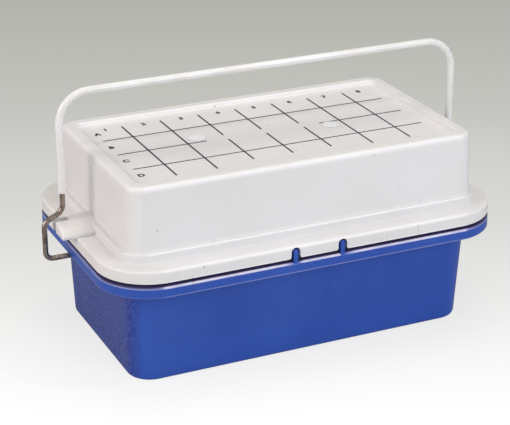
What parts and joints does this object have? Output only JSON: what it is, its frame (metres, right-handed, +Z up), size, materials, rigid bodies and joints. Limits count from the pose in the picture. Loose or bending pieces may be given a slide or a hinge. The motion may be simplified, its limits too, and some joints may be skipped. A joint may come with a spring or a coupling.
{
  "type": "bench-top sample tube cooler",
  "caption": "Gel-filled bench-top cooler: a blue tub with a tray of tube wells, a white gridded lid that lifts off, and a swinging wire bail with a soft sleeve.",
  "frame": {"origin": "middle of the tub's underside", "axes": "+X along the long side to the right, -Y the front with the two keys, +Z up"},
  "size_m": [0.2878, 0.1588, 0.1652],
  "materials": {
    "blue_shell": "moulded blue plastic, satin, finely textured",
    "white_shell": "moulded white plastic, satin",
    "tray_white": "moulded white plastic, satin",
    "coolant_gel": "set coolant gel",
    "steel_wire": "drawn steel wire, dull",
    "vinyl_sleeve": "soft white vinyl, slightly translucent"
  },
  "bodies": {
    "base": {"base_shell": "blue_shell", "well_tray": "tray_white", "base_coolant_gel": "coolant_gel", "base_fill_plug_left": "blue_shell", "base_fill_plug_right": "blue_shell"},
    "lid": {"lid_shell": "white_shell", "lid_liner": "tray_white", "lid_coolant_gel": "coolant_gel", "lid_fill_plug_left": "white_shell", "lid_fill_plug_right": "white_shell"},
    "bail": {"bail_wire": "steel_wire", "bail_sleeve": "vinyl_sleeve"}
  },
  "joints": [
    {"name": "bail_swing", "type": "hinge", "parent": "base", "child": "bail", "pos_m": [0, 0, 0.0618], "axis": [1, 0, 0], "range_deg": [-115, 115]},
    {"name": "lid_lift", "type": "slide", "parent": "base", "child": "lid", "axis": [0, 0, 1], "range_m": [0, 0.0365]}
  ]
}
